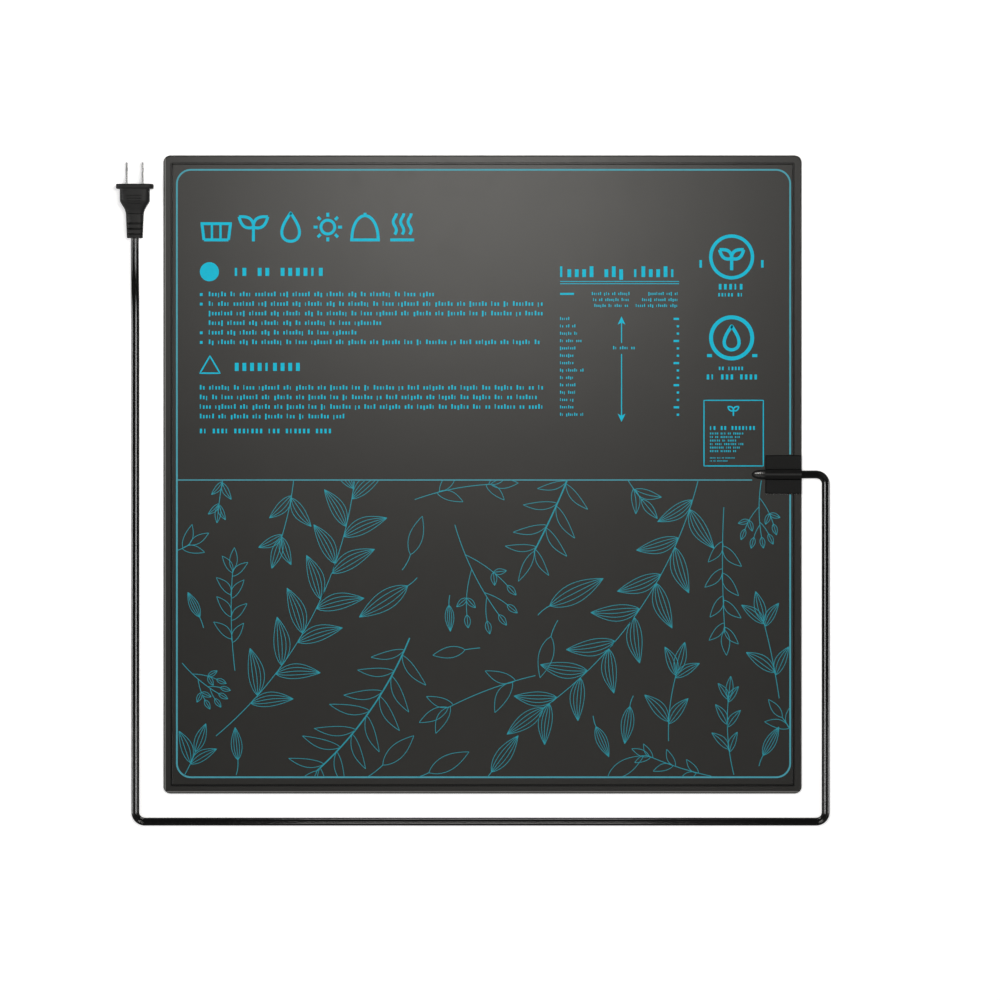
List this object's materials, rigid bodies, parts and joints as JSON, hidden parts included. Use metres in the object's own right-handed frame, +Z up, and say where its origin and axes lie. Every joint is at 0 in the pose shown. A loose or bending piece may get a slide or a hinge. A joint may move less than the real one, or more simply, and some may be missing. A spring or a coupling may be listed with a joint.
{
  "type": "seedling heat mat",
  "caption": "Thin square layered heating pad with a welded border, a side clamp, a serpentine wire inside, and a flat cord ending in a two-blade plug.",
  "frame": {"origin": "centre of the square pad on the surface it lies on", "axes": "+Z up out of the printed face, +X to the edge with the clamp, +Y to the edge the plug lies beside"},
  "size_m": [0.5675, 0.5335, 0.0167],
  "materials": {
    "sheet_grey": "satin flexible vinyl",
    "foam": "closed-cell foam",
    "film": "clear film",
    "foil": "bright foil",
    "wire_skin": "silicone insulation",
    "alloy": "resistance alloy",
    "copper": "tinned copper",
    "sleeve": "shrink sleeve",
    "core_black": "core insulation",
    "core_white": "core insulation",
    "potting": "sealing compound",
    "clamp_black": "fine satin moulding",
    "boot_black": "gloss moulding",
    "cord_black": "satin cord",
    "plug_grey": "satin moulding",
    "bridge_grey": "satin moulding",
    "nickel": "bright nickel plate"
  },
  "bodies": {
    "root": {"bottom_sheet": "sheet_grey", "foam_core": "foam", "carrier_film": "film", "heat_spreader_foil": "foil", "top_sheet": "sheet_grey", "heating_wire": "wire_skin", "heating_wire_core": "alloy", "live_crimp": "copper", "live_crimp_sleeve": "sleeve", "live_strands": "copper", "live_lead": "core_black", "neutral_crimp": "copper", "neutral_crimp_sleeve": "sleeve", "neutral_strands": "copper", "neutral_lead": "core_white", "potting_block": "potting", "clamp_lower": "clamp_black", "clamp_upper": "clamp_black", "wire_boot": "boot_black", "power_cord": "cord_black", "plug_body": "plug_grey", "plug_bridge": "bridge_grey", "live_blade": "nickel", "neutral_blade": "nickel", "live_plug_lead": "core_black", "live_plug_strands": "copper", "neutral_plug_lead": "core_white", "neutral_plug_strands": "copper"}
  },
  "joints": []
}
